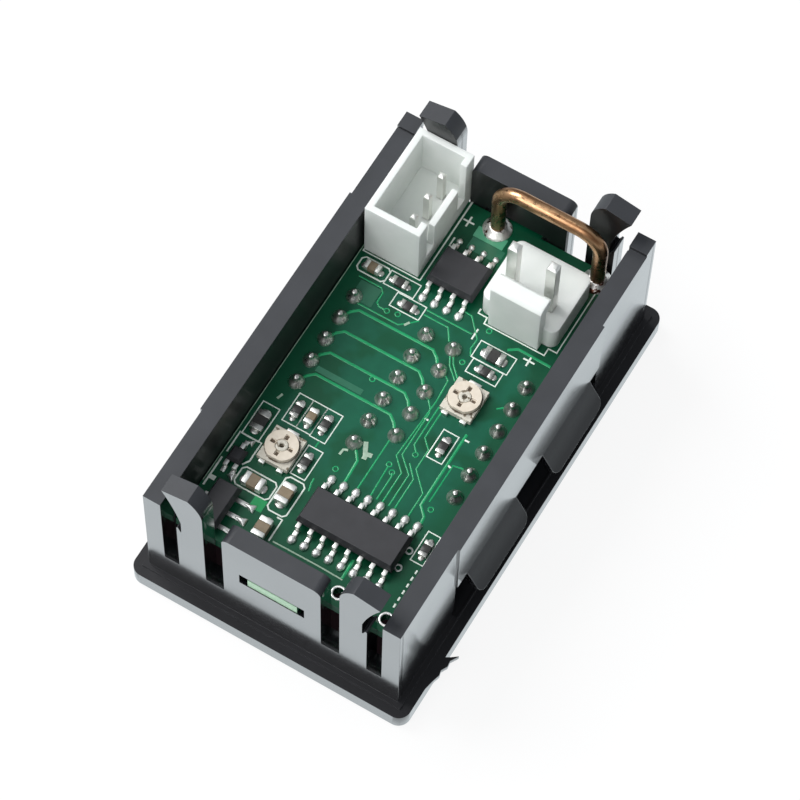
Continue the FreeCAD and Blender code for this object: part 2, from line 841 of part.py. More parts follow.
save("shunt_wire", shunt_wire())
for number, y in enumerate(shunt_y, 1):
    save(f"shunt_solder_{number}", shunt_joint(y))

save("amplifier_chip", chip_body(amplifier_x, amplifier_y, amplifier_length))
save("amplifier_leads", lead_rows(amplifier_x, amplifier_y, 8))
save("controller_chip", chip_body(controller_x, controller_y, controller_length))
save("controller_leads", lead_rows(controller_x, controller_y, 16))
save("chip_solder", lead_solder(amplifier_x, amplifier_y, 8)
     + lead_solder(controller_x, controller_y, 16))
save("regulator", regulator_body())
save("regulator_leads", regulator_leads())
save("small_transistor", transistor_body())
save("transistor_leads", transistor_leads())

for number, place in enumerate(trimmer_places, 1):
    x, y = on_board(*place)
    save(f"trimmer_base_{number}", trimmer_base_block(x, y))
    save(f"trimmer_rotor_{number}", trimmer_rotor(x, y))
    save(f"trimmer_tabs_{number}", trimmer_tabs(x, y))

resistors = [(*on_board(x, y), axis, size) for x, y, axis, size in resistor_places]
resistors.append((*beside_socket(*socket_resistor_place), "y", resistor_size))
resistor_ends = []
for number, (x, y, axis, size) in enumerate(resistors, 1):
    body, *ends = chip_part(x, y, axis, size)
    save(f"resistor_{number}", body)
    resistor_ends += ends
save("resistor_terminals", resistor_ends)

capacitors = [(*on_board(x, y), axis, size) for x, y, axis, size in capacitor_places]
capacitors.append((*beside_socket(*socket_capacitor_place), "y", small_capacitor))
capacitor_ends = []
for number, (x, y, axis, size) in enumerate(capacitors, 1):
    body, *ends = chip_part(x, y, axis, size)
    save(f"capacitor_{number}", body)
    capacitor_ends += ends
save("capacitor_terminals", capacitor_ends)
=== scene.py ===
# %% [markdown]
# # A digital panel meter, dressed for its photograph
#
# The meter lies face down. Its case is a box of polished black plastic, open at the rear, and
# in it stands a green circuit board with two white connectors, a bent copper wire, chips,
# trimmers and rows of solder joints. The measured model comes first, as a fixed frame. Each
# piece is then softened at its edges, given its finish, or modelled again where solder and ink
# have shapes that a plain solid doesn't show.

# %% Load the measured model
import json
import math

import bpy
from mathutils import Matrix, Vector


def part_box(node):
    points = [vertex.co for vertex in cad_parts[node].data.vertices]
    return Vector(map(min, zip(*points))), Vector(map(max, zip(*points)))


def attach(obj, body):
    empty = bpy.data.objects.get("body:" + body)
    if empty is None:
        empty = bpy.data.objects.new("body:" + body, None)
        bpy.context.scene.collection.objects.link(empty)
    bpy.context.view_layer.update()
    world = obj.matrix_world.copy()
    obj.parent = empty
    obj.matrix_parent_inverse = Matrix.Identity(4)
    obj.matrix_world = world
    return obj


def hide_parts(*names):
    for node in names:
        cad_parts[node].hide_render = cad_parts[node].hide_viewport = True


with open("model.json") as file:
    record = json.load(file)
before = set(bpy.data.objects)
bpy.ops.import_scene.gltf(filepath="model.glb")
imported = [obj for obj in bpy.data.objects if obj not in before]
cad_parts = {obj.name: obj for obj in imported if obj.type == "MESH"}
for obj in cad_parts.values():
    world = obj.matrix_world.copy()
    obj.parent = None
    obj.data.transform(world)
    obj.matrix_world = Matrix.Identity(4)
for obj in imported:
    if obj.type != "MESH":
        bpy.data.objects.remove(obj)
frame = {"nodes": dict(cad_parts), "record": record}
nodes = frame["nodes"]
body_of = {}
for body, members in frame["record"]["behaviour"]["bodies"].items():
    for member in members:
        body_of[member] = body
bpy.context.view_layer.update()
mm = 0.001
scene = bpy.context.scene

# %% [markdown]
# ## The camera
#
# The photograph was taken from high above one corner, with a long lens, so that far edges look
# almost as long as near ones. The camera's place and its three directions are written here as
# they were worked out from the rows of display pins, which are 2.54 mm apart. A camera could
# also be aimed with a constraint, but the small roll of the picture would then be lost.

# %% Place the camera
camera_place = Vector((-0.134396, -0.073815, 0.320093))
camera_right = Vector((0.510659, -0.859635, 0.015963))
camera_up = Vector((0.767046, 0.463888, 0.443225))
camera_back = camera_right.cross(camera_up)

bpy.ops.object.camera_add()
camera = bpy.context.object
camera.data.lens = 172.2
camera.data.sensor_width = 36
camera.data.clip_start = 0.01
camera.data.clip_end = 10
turn = Matrix((camera_right, camera_up, camera_back)).transposed()
camera.matrix_world = Matrix.Translation(camera_place) @ turn.to_4x4()
scene.camera = camera
print("camera", round(camera_place.length / mm), "mm from the meter")

# %% [markdown]
# ## Colours and nodes
#
# Colours are written as they look on a screen, in hex. Blender mixes light in linear numbers,
# so one function turns hex to linear. A second small function adds a node to a material,
# with its settings and links, which keeps each recipe short enough to read. A third starts a
# material, with the values that are the same all over it.

# %% Helpers that start a material
def colour(code):
    """A screen colour such as #1f7a52, as linear red, green, blue and alpha."""
    parts = [int(code[k:k + 2], 16) / 255 for k in (1, 3, 5)]
    return [v / 12.92 if v <= 0.04045 else ((v + 0.055) / 1.055) ** 2.4 for v in parts] + [1.0]


def add(tree, kind, links=None, **settings):
    """Add a node. links gives its inputs: a value, or another node's output socket."""
    made = tree.nodes.new(kind)
    for name, value in settings.items():
        setattr(made, name, value)
    for key, value in (links or {}).items():
        if isinstance(value, bpy.types.NodeSocket):
            tree.links.new(value, made.inputs[key])
        else:
            made.inputs[key].default_value = value
    return made


def new_finish(name, base, roughness, **sockets):
    """A new material and its shader, with the values that are the same all over."""
    made = bpy.data.materials.new(name)
    made.use_nodes = True
    shader = made.node_tree.nodes["Principled BSDF"]
    shader.inputs["Base Color"].default_value = colour(base)
    shader.inputs["Roughness"].default_value = roughness
    for key, value in sockets.items():
        shader.inputs[key.replace("_", " ")].default_value = value
    return made, made.node_tree, shader


print("middle grey on a screen, as linear light:", round(colour("#808080")[0], 3))

# %% [markdown]
# No real surface is even. Soft noise, in patches of a stated size, stands for the slow changes
# of shade and gloss that moulding, dipping and handling leave. A Map Range node brings the noise
# into a range of values, and a Mix node turns it into a blend of two shades.

# %% Helpers for uneven surfaces
noise_low, noise_high = 0.35, 0.65


def patches(tree, size_mm, detail=3.0, stretch=(1, 1, 1)):
    """Soft noise patches of about size_mm, from the object's own coordinates."""
    place = add(tree, "ShaderNodeTexCoord")
    laid = add(tree, "ShaderNodeMapping", {"Vector": place.outputs["Object"], "Scale": stretch})
    noise = add(tree, "ShaderNodeTexNoise", {"Vector": laid.outputs["Vector"],
                                             "Scale": 1 / (size_mm * mm), "Detail": detail})
    return noise.outputs["Fac"]


def spread(tree, value, low, high, from_low=noise_low, from_high=noise_high):
    """Bring noise, or a distance, into a range of values."""
    ranged = add(tree, "ShaderNodeMapRange", {"Value": value, "From Min": from_low,
                                              "From Max": from_high, "To Min": low, "To Max": high})
    return ranged.outputs["Result"]


def blend_colours(tree, share, first, second):
    """Blend two screen colours by a share from 0 to 1."""
    mixed = add(tree, "ShaderNodeMix", {"Factor": share}, data_type="RGBA")
    mixed.inputs[6].default_value = colour(first)
    mixed.inputs[7].default_value = colour(second)
    return mixed.outputs[2]


def mottled(name, base, first, second, size_mm, roughness, **sockets):
    """A new material whose colour wanders between two shades, in patches of size_mm."""
    made, tree, shader = new_finish(name, base, roughness, **sockets)
    tree.links.new(blend_colours(tree, patches(tree, size_mm), first, second),
                   shader.inputs["Base Color"])
    return made, tree, shader


print("the noise is read from", noise_low, "to", noise_high)

# %% [markdown]
# Some finishes belong to one place on a piece, such as the inside of a wall. The distance from a
# plane, read from the object's own coordinates, marks such places, and the product of two marks
# is where both hold. A bump leans the shading wherever its height changes.

# %% Helpers for places and for bump
def distance(tree, axis, centre_mm=0.0):
    """How far a point lies from a plane across X, Y or Z, in metres."""
    place = add(tree, "ShaderNodeTexCoord")
    parts = add(tree, "ShaderNodeSeparateXYZ", {"Vector": place.outputs["Object"]})
    moved = add(tree, "ShaderNodeMath", {0: parts.outputs[axis], 1: centre_mm * mm},
                operation="SUBTRACT")
    return add(tree, "ShaderNodeMath", {0: moved.outputs[0]}, operation="ABSOLUTE").outputs[0]


def both(tree, first, second):
    """The product of two values, such as two marks from 0 to 1."""
    return add(tree, "ShaderNodeMath", {0: first, 1: second}, operation="MULTIPLY").outputs[0]


def bump(tree, shader, height, depth_mm, strength=0.5):
    """Lean the shading by a height that spans depth_mm."""
    made = add(tree, "ShaderNodeBump", {"Height": height, "Distance": depth_mm * mm,
                                        "Strength": strength})
    tree.links.new(made.outputs["Normal"], shader.inputs["Normal"])


print("sizes are written in millimetres, each", mm, "of Blender's metres")

# %% [markdown]
# ## The case plastic
#
# The case is injection-moulded ABS from a polished mould. Its faces are almost mirror smooth,
# so the black walls turn pale wherever they reflect the table, and only faint flow marks and
# dust break the shine. A low roughness with slow patches gives that, and a very shallow bump
# makes the reflections waver as they do on moulded walls. A clear coat layer stands for the
# glassy skin of the outer walls, and it gains weight where a wall is seen at a slant. Inside
# the box, where the mould was never polished, the skin is duller.
#
# Moulded walls also lean by a degree or two, so that the part slides out of the mould. The
# measured long walls are upright, and a bump that falls evenly with height turns their
# shading by that lean.

# %% Polished black ABS
inner_end = (21.0 * mm, 21.02 * mm)
inner_side = (11.27 * mm, 11.29 * mm)
inner_shift_mm = 0.25
lean_end = (22.0 * mm, 22.3 * mm)
lean_slope = math.tan(math.radians(2.4))

abs_black, tree, shader = new_finish("abs_black", "#0f0f12", 0.2, IOR=1.6, Coat_IOR=3.2,
                                     Coat_Roughness=0.14)
inside = both(tree, spread(tree, distance(tree, "X", inner_shift_mm), 1, 0, *inner_end),
              spread(tree, distance(tree, "Y"), 1, 0, *inner_side))
polish = spread(tree, patches(tree, 6.0), 0.12, 0.24)
skin = add(tree, "ShaderNodeMix", {"Factor": inside, 2: polish, 3: 0.45})
tree.links.new(skin.outputs[0], shader.inputs["Roughness"])
facing = add(tree, "ShaderNodeLayerWeight", {"Blend": 0.5}).outputs["Facing"]
grazing = spread(tree, facing, 0.2, 1, 0.35, 0.65)
tree.links.new(both(tree, grazing, spread(tree, inside, 1, 0.15, 0, 1)),
               shader.inputs["Coat Weight"])
tree.links.new(blend_colours(tree, patches(tree, 9.0), "#0b0b0d", "#17171b"),
               shader.inputs["Base Color"])
lean = both(tree, distance(tree, "Z"), spread(tree, distance(tree, "X"), -lean_slope, 0, *lean_end))
wave = both(tree, patches(tree, 3.0, 2.0), 0.003 * mm)
draft = add(tree, "ShaderNodeMath", {0: lean, 1: wave}, operation="ADD").outputs[0]
bump(tree, shader, draft, 1000, 1.0)
print(abs_black.name, "has", len(tree.nodes), "nodes")

# %% [markdown]
# The snap wings and the flange's rear came from parts of the mould with an eroded, matt surface. The
# top faces have a rougher grain and a grey colour well above the black, and that grey is painted sheen,
# which stands in for the sky's reflection on the tops. Each is the same plastic with another skin, so
# each has a recipe of its own with a fine bump.

# %% Matt black ABS, and grained ABS with a painted sheen
abs_matt, tree, shader = mottled("abs_matt", "#121214", "#111114", "#1f1f23", 4.0, 0.5, IOR=1.54)
shader.inputs["Specular IOR Level"].default_value = 0.3
bump(tree, shader, patches(tree, 0.12, 2.0), 0.006, 0.4)

# The grey of the grained tops is painted sheen, the sky's reflection on them.
abs_grained_painted_sheen, tree, shader = mottled("abs_grained_painted_sheen", "#2d2f33", "#25272b", "#34363b", 2.5, 0.55,
                                    IOR=1.54)
bump(tree, shader, patches(tree, 0.15, 2.0), 0.008, 0.5)
print("the other case finishes:", abs_matt.name, "and", abs_grained_painted_sheen.name)

# %% [markdown]
# ## The board
#
# The board is glass cloth and epoxy under a green solder mask, a thin glossy lacquer. Copper
# under the mask shows as a paler, greyer green, and bare laminate as a deeper one. The
# deep green fills the sides, and the greyer one lies in patches between the two displays'
# pins. Where the board's lugs were sawn off, past 22.4 mm, the pale glass cloth is bare.

# %% Solder mask
middle_x = (9.0 * mm, 11.0 * mm)
middle_y = (8.0 * mm, 9.2 * mm)
sawn_off = (22.42 * mm, 22.46 * mm)

mask_green, tree, shader = new_finish("solder_mask", "#00552f", 0.36, IOR=1.36)
deep = blend_colours(tree, patches(tree, 3.0, 2.0), "#004129", "#005638")
pour = blend_colours(tree, patches(tree, 1.4, 2.0), "#004b36", "#0e5f45")
middle = both(tree, spread(tree, distance(tree, "Y"), 1, 0, *middle_y),
              spread(tree, distance(tree, "X"), 1, 0, *middle_x))
under = both(tree, middle, spread(tree, patches(tree, 3.2, 2.0), 0.0, 1.0, 0.4, 0.5))
mask = add(tree, "ShaderNodeMix", {0: under, 6: deep, 7: pour}, data_type="RGBA")
sawn = spread(tree, distance(tree, "X"), 0, 1, *sawn_off)
glass = blend_colours(tree, patches(tree, 0.5), "#8fb896", "#bcd6bd")
whole = add(tree, "ShaderNodeMix", {0: sawn, 6: mask.outputs[2], 7: glass}, data_type="RGBA")
tree.links.new(whole.outputs[2], shader.inputs["Base Color"])
bump(tree, shader, patches(tree, 0.5, 2.0), 0.01, 0.15)
print(mask_green.name, "has", len(tree.nodes), "nodes")

# %% [markdown]
# Tracks and copper areas come later as raised strips and plates, so each gets the green that the
# lacquer has over it: brighter over narrow copper, paler or greyer over wide copper. One brighter green
# is painted light, a pool of light on one small patch of the board. The printed marks are a chalky
# white ink, and scuffed lacquer turns pale and dull.

# %% Lacquer over copper, ink and scuffs
track_green = mottled("mask_over_track", "#129058", "#0d8450", "#1fa468", 0.8, 0.25, IOR=1.5)[0]
pale_copper = mottled("mask_over_bare_area", "#4b9c78", "#428f6c", "#5bab87", 1.0, 0.3, IOR=1.5)[0]
grey_copper = mottled("mask_over_wide_copper", "#23664b", "#1c6046", "#2a7055", 1.0, 0.3,
                      IOR=1.5)[0]
# A brighter green, painted light for a lit patch of the board.
painted_light_green = mottled("mask_painted_light", "#07924f", "#058546", "#10a05c", 1.0, 0.3,
                        IOR=1.5)[0]
legend_ink = mottled("legend_ink", "#e4ebe2", "#cfdacf", "#f2f6f0", 0.25, 0.55)[0]
scuffed_mask = mottled("scuffed_mask", "#93ad97", "#7c9f86", "#b3c4b3", 0.3, 0.6)[0]
print("greens of the copper:", track_green.name, pale_copper.name, grey_copper.name,
      painted_light_green.name)

# %% [markdown]
# ## Connector nylon
#
# Both connectors are natural nylon, milky and a little translucent: light goes in at the thin
# walls and comes out softened. Subsurface scattering over about a millimetre gives that.

# %% Milky nylon
nylon, tree, shader = mottled("milky_nylon", "#dde1dc", "#e0e6e1", "#f0f2ef", 2.0, 0.38,
                              IOR=1.53, Subsurface_Weight=0.6, Subsurface_Scale=1.0 * mm,
                              Subsurface_Radius=(1, 1, 1))
bump(tree, shader, patches(tree, 0.5), 0.01, 0.3)
print(nylon.name, "scatters light over", shader.inputs["Subsurface Scale"].default_value, "m")

# %% [markdown]
# ## Metals
#
# Pins and leads are tin plate. Solder freezes with a slightly crumpled skin: bright on the chips,
# where it was printed and melted in an oven, duller on the pins, which were dipped, and stained
# brown by flux under the shunt, which was soldered by hand. All are metal shaders, and only
# the patches of shade and gloss tell them apart.

# %% Tin plate and solder
tin_plate, tree, shader = new_finish("tin_plate", "#f0f0ec", 0.4, Metallic=1.0)
tree.links.new(spread(tree, patches(tree, 0.9, 2.0), 0.36, 0.52), shader.inputs["Roughness"])

solder, tree, shader = mottled("bright_solder", "#f6f6f3", "#ededea", "#fcfcfa", 0.6, 0.4,
                               Metallic=1.0)
tree.links.new(spread(tree, patches(tree, 0.5), 0.36, 0.54), shader.inputs["Roughness"])
bump(tree, shader, patches(tree, 0.6, 2.0), 0.03, 0.3)

dull_solder, tree, shader = mottled("dull_solder", "#c6c6c2", "#92928c", "#f4f4f0", 0.45, 0.35,
                                    Metallic=1.0)
tree.links.new(spread(tree, patches(tree, 0.5), 0.25, 0.42), shader.inputs["Roughness"])
bump(tree, shader, patches(tree, 0.5, 2.0), 0.06, 0.45)

fluxed, tree, shader = new_finish("fluxed_solder", "#e0ddd8", 0.35, Metallic=0.9)
flux = spread(tree, patches(tree, 0.7, 3.0), 0, 1, 0.55, 0.62)
tree.links.new(blend_colours(tree, flux, "#f2f0ec", "#5a382b"), shader.inputs["Base Color"])
tree.links.new(spread(tree, flux, 0.4, 0.25, 0, 1), shader.inputs["Roughness"])
bump(tree, shader, patches(tree, 0.5, 2.0), 0.05, 0.4)
print("metals:", tin_plate.name, solder.name, dull_solder.name, fluxed.name)

# %% [markdown]
# The shunt is bare drawn copper alloy, with fine streaks along it and a brown tarnish. Noise
# stretched across and up the case gives the streaks, since the wire runs that way.

# %% Drawn copper
copper, tree, shader = new_finish("drawn_copper", "#b08260", 0.3, Metallic=1.0)
streaks = spread(tree, patches(tree, 0.4, 3.0, (1, 0.08, 0.08)), 0, 1)
tree.links.new(blend_colours(tree, streaks, "#875f41", "#d3aa82"), shader.inputs["Base Color"])
tree.links.new(spread(tree, patches(tree, 0.6), 0.22, 0.42), shader.inputs["Roughness"])
bump(tree, shader, patches(tree, 0.25, 2.0, (1, 0.12, 0.12)), 0.01, 0.4)
print(copper.name, "has", len(tree.nodes), "nodes")

# %% [markdown]
# ## Chips, resistors, capacitors and trimmers
#
# Chip bodies are moulded epoxy with a fine matt grain. Chip resistors carry a black glaze on
# white alumina, capacitors are a plain tan ceramic, and the trimmers are white alumina,
# spotted with flux from their soldering, with a beige turning disc.

# %% Epoxy, glaze and ceramics
epoxy, tree, shader = mottled("moulded_epoxy", "#2a2a2d", "#242427", "#333337", 1.5, 0.55)
bump(tree, shader, patches(tree, 0.09, 2.0), 0.008, 0.5)

glaze = mottled("resistor_glaze", "#2b2b2a", "#222221", "#3c3c3a", 0.4, 0.35)[0]
tan_ceramic = mottled("tan_ceramic", "#7f705a", "#74654e", "#8f806a", 0.6, 0.4)[0]
beige_disc = mottled("beige_disc", "#cfc2b0", "#d0c3b0", "#e6dccd", 0.5, 0.45)[0]
# A dark brown, used only for the painted shade in the trimmers' slots and round their discs.
painted_shade_brown = mottled("trimmer_painted_shade", "#4d4032", "#3c3126", "#6a5a48", 0.3, 0.7)[0]

alumina, tree, shader = new_finish("white_alumina", "#cfcabd", 0.45)
clean = blend_colours(tree, patches(tree, 0.5), "#c3bdae", "#dcd8cd")
dirt = spread(tree, patches(tree, 0.5, 2.0), 0, 1, 0.57, 0.62)
mixed = add(tree, "ShaderNodeMix", {0: dirt, 6: clean, 7: colour("#7a6f5d")}, data_type="RGBA")
tree.links.new(mixed.outputs[2], shader.inputs["Base Color"])
print("part finishes:", epoxy.name, glaze.name, tan_ceramic.name, beige_disc.name, alumina.name)

# %% [markdown]
# ## The display side
#
# The front window is clear plastic tinted dark, so that unlit segments don't show from the
# front. The display modules behind it have a black shell and pale light guides.

# %% Smoked window, display shell and segments
smoked, tree, shader = new_finish("smoked_acrylic", "#1a1113", 0.08, IOR=1.49,
                                  Transmission_Weight=0.9)
tree.links.new(spread(tree, patches(tree, 5.0), 0.05, 0.12), shader.inputs["Roughness"])

shell_black, tree, shader = new_finish("display_shell", "#1b1b1e", 0.5)
bump(tree, shader, patches(tree, 0.4), 0.01, 0.4)

segment_pale = mottled("segment_guide", "#b9aeaa", "#ada19d", "#c6bcb8", 0.7, 0.4)[0]
print("display finishes:", smoked.name, shell_black.name, segment_pale.name)

# %% [markdown]
# ## Softened edges
#
# A measured solid has knife-sharp edges, and a moulded or stamped part never does: its edges
# catch a thin line of light. Each piece is copied, its loose triangles are merged and
# its flat faces joined, and a bevel of a few hundredths of a millimetre rounds the edges.
# Weighted normals then keep the large faces flat in their shading, so that only the narrow
# bevels turn. The copy stands for the solid, at the same place.

# %% Copy, merge and bevel
merge_reach = 2e-6
flat_degrees = 0.6


def only(piece):
    """Select one piece and nothing else."""
    bpy.ops.object.select_all(action="DESELECT")
    piece.select_set(True)
    bpy.context.view_layer.objects.active = piece


def apply_all(piece):
    """Apply every modifier of a piece, in order."""
    only(piece)
    for modifier in list(piece.modifiers):
        bpy.ops.object.modifier_apply(modifier=modifier.name)


def softened(name, finish, edge_mm, steps=2, angle=35):
    """A copy of a measured piece with rounded edges, which stands for it."""
    piece = nodes[name].copy()
    piece.data = nodes[name].data.copy()
    piece.name = name + "_soft"
    scene.collection.objects.link(piece)
    piece.parent = None
    only(piece)
    bpy.ops.object.mode_set(mode="EDIT")
    bpy.ops.mesh.select_all(action="SELECT")
    bpy.ops.mesh.remove_doubles(threshold=merge_reach)
    bpy.ops.mesh.dissolve_limited(angle_limit=math.radians(flat_degrees))
    bpy.ops.object.mode_set(mode="OBJECT")
    if edge_mm:
        bevel = piece.modifiers.new("edge", "BEVEL")
        bevel.width = edge_mm * mm
        bevel.segments = steps
        bevel.limit_method = "ANGLE"
        bevel.angle_limit = math.radians(angle)
        bevel.use_clamp_overlap = True
        apply_all(piece)
    bpy.ops.object.shade_smooth_by_angle(angle=math.radians(50 if edge_mm else 30))
    weighted = piece.modifiers.new("flat_faces", "WEIGHTED_NORMAL")
    weighted.keep_sharp = True
    apply_all(piece)
    piece.data.materials.clear()
    piece.data.materials.append(finish)
    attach(piece, body_of[name])
    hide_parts(name)
    return piece


# %% [markdown]
# The large pieces get the wider bevels. The case has three finishes, and each of its faces takes one by
# its place and slope: matt on the flange's rear and on the wings, grained with a painted sheen on the
# top faces and polished elsewhere. The narrow bevels of the wings stay polished, and they outline each
# wing with a thin line of light.

# %% Dress the large pieces
flange_top_mm = 4.0
wings_from_mm, tops_from_mm = 2.6, 10.0
wall_side_mm = 13.13
wide_face = 1.0 * mm * mm


def case_finish(face):
    """Which finish a face of the case has: 0 polished, 1 matt, 2 grained with a painted sheen."""
    up = face.normal.z
    height = face.center.z
    if height < flange_top_mm * mm and up > 0.9:
        return 1
    if wings_from_mm * mm < height < tops_from_mm * mm:
        slanted = abs(face.center.y) > wall_side_mm * mm and abs(up) > 0.12
        return 1 if slanted and face.area > wide_face else 0
    return 2 if height > tops_from_mm * mm and up > 0.3 else 0


dressed = [
    ("housing", abs_black, 0.07), ("front_window", smoked, 0.05), ("circuit_board", mask_green, 0),
    ("voltage_display", shell_black, 0.08), ("current_display", shell_black, 0.08),
    ("three_pin_socket", nylon, 0.06), ("two_pin_header", nylon, 0.08),
    ("shunt_wire", copper, 0.08), ("amplifier_chip", epoxy, 0.04), ("controller_chip", epoxy, 0.04),
    ("regulator", epoxy, 0.05), ("small_transistor", epoxy, 0.04),
]
for name, finish, edge_mm in dressed:
    piece = softened(name, finish, edge_mm)
    if name == "housing":
        piece.data.materials.append(abs_matt)
        piece.data.materials.append(abs_grained_painted_sheen)
        counts = [0, 0, 0]
        for face in piece.data.polygons:
            face.material_index = case_finish(face)
            counts[face.material_index] += 1
        print("polished, matt and grained faces:", counts)

# %% [markdown]
# The small pieces are many and alike, so a table of how their names begin and end gives each
# its finish and the width of its bevel in millimetres. The first line that fits counts. A
# resistor's ends are duller than a capacitor's. The display's pins and light guides get no
# bevel, because it would be too small to show.

# %% Dress the small pieces
small_finishes = [
    ("socket_pin", "", tin_plate, 0.04), ("header_pin", "", tin_plate, 0.04),
    ("", "_leads", tin_plate, 0.03), ("", "_tabs_1", tin_plate, 0.03),
    ("", "_tabs_2", tin_plate, 0.03), ("", "_display_pins", tin_plate, 0),
    ("", "_segments", segment_pale, 0), ("resistor_", "_terminals", dull_solder, 0.05),
    ("", "_terminals", tin_plate, 0.05), ("resistor_", "", glaze, 0.03),
    ("capacitor_", "", tan_ceramic, 0.05), ("trimmer_base", "", alumina, 0.05),
    ("trimmer_rotor", "", beige_disc, 0.03),
]
small = 0
for name in sorted(nodes):
    for start, end, finish, edge_mm in small_finishes:
        if name.startswith(start) and name.endswith(end):
            softened(name, finish, edge_mm)
            small += 1
            break
print("large and small pieces dressed:", len(dressed), small)

# %% [markdown]
# ## Solder joints
#
# Molten solder climbs a pin and freezes in a hollow cone, wide and thin at the board and steep
# at the pin, with the pin's tip standing out of it. One joint is drawn out of a circle, ring
# by ring, and then copied to every pin.

# %% Model one joint
board_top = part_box("circuit_board")[1].z


def joint(name, rings, sides=20, finish=solder, smooth=50):
    """A round joint: rings of (radius, height) in millimetres, the last one closed."""
    bpy.ops.object.select_all(action="DESELECT")
    first = rings[0]
    bpy.ops.mesh.primitive_circle_add(vertices=sides, radius=first[0] * mm, fill_type="NGON",
                                      location=(0, 0, first[1] * mm))
    piece = bpy.context.object
    piece.name = name
    bpy.ops.object.transform_apply(location=True)
    bpy.ops.object.mode_set(mode="EDIT")
    bpy.ops.mesh.select_all(action="SELECT")
    before = first
    for radius, height in rings[1:]:
        bpy.ops.mesh.extrude_region_move(
            TRANSFORM_OT_translate={"value": (0, 0, (height - before[1]) * mm)})
        share = radius / before[0]
        bpy.ops.transform.resize(value=(share, share, 1),
                                 center_override=(0, 0, height * mm))
        before = (radius, height)
    bpy.ops.mesh.select_all(action="SELECT")
    bpy.ops.mesh.normals_make_consistent(inside=False)
    bpy.ops.object.mode_set(mode="OBJECT")
    bpy.ops.object.shade_smooth_by_angle(angle=math.radians(smooth))
    piece.data.materials.append(finish)
    return piece


def placed(model, name, places, body, replaced, scale=None):
    """Copies of one model at many places, joined into one piece."""
    copies = []
    for number, place in enumerate(places):
        copy = model.copy()
        copy.data = model.data.copy()
        scene.collection.objects.link(copy)
        size = scale[number] if scale else (1, 1, 1)
        move = Matrix.Translation(Vector(place)) @ Matrix.Diagonal((*size, 1))
        copy.data.transform(move)
        copies.append(copy)
    bpy.ops.object.select_all(action="DESELECT")
    for copy in copies:
        copy.select_set(True)
    bpy.context.view_layer.objects.active = copies[0]
    bpy.ops.object.join()
    piece = bpy.context.object
    piece.name = name
    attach(piece, body)
    if replaced:
        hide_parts(*replaced)
    return piece


pin_joint = joint("pin_joint", [(0.8, 0.0), (0.77, 0.1), (0.66, 0.3), (0.52, 0.48), (0.42, 0.62),
                                (0.34, 0.74), (0.31, 0.86), (0.29, 1.0), (0.22, 1.09), (0.08, 1.13)],
                  finish=dull_solder)
print("pin joint:", len(pin_joint.data.polygons), "faces")

# %% [markdown]
# The display pins stand in two rows with a pitch of 2.54 mm, and some places in the rows are
# empty. A joint goes only where the measured display has a pin.

# %% Copy it to the display pins
pitch = 2.54 * mm
pin_radius_mm = 0.25
pin_reach = 0.3 * mm


def pin_centres(name):
    """The pins of one display, read from the measured pins' own points."""
    low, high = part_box(name)
    radius = pin_radius_mm * mm * math.cos(math.pi / 8)
    columns = round((high.x - low.x - 2 * radius) / pitch)
    points = [vertex.co for vertex in nodes[name].data.vertices]
    found = []
    for y in sorted((low.y + radius, high.y - radius)):
        for k in range(columns + 1):
            x = low.x + radius + k * pitch
            if any(abs(p.x - x) < pin_reach and abs(p.y - y) < pin_reach for p in points):
                found.append((x, y, board_top))
    return found


for side in ("voltage", "current"):
    centres = pin_centres(side + "_display_pins")
    placed(pin_joint, side + "_pin_joints", centres, "meter", [side + "_display_solder"])

# %% [markdown]
# The shunt carries the whole measured current, so it has large joints. Each chip lead has a
# small drop of solder past its toe, and the amplifier's far row has smaller ones.

# %% Shunt joints and lead joints
shunt_joint = joint("shunt_joint", [(1.42, 0.0), (1.38, 0.1), (1.2, 0.26), (1.02, 0.42),
                                    (0.88, 0.58), (0.76, 0.7), (0.6, 0.72)], 32, fluxed)
ends = []
for number in (1, 2):
    low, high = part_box(f"shunt_solder_{number}")
    ends.append(((low.x + high.x) / 2, (low.y + high.y) / 2, board_top))
placed(shunt_joint, "shunt_joints", ends, "meter", ["shunt_solder_1", "shunt_solder_2"])

lead_drop = joint("lead_drop", [(0.42, 0.0), (0.44, 0.08), (0.4, 0.2), (0.3, 0.32), (0.12, 0.39)], 16)
lead_pitch_mm = 1.27
toe_gap_mm = 0.35


def lead_drops(name, chip):
    """Where the drops of a chip's leads go: one past each toe, on both sides."""
    low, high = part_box(name)
    middle = (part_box(chip)[0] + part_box(chip)[1]) / 2
    count = round((high.y - low.y) / (lead_pitch_mm * mm)) + 1
    first = middle.y - (count - 1) / 2 * lead_pitch_mm * mm
    for x in (low.x - toe_gap_mm * mm, high.x + toe_gap_mm * mm):
        for k in range(count):
            yield (x, first + k * lead_pitch_mm * mm, board_top)


drops = list(lead_drops("amplifier_leads", "amplifier_chip"))
drops += list(lead_drops("controller_leads", "controller_chip"))
full_drop, small_drop = (1.15, 0.9, 1), (0.75, 0.7, 0.8)
drop_sizes = [full_drop] * 4 + [small_drop] * 4 + [full_drop] * (len(drops) - 8)
placed(lead_drop, "lead_drops", drops, "meter", ["chip_solder"], drop_sizes)
print("shunt joints:", len(ends), "drops at the chips' leads:", len(drops))

# %% [markdown]
# The regulator's flat leads and the small transistor's are buried in broad, long joints. They
# are drawn with three corners and bevelled, which gives the blunt wedge of such a joint.

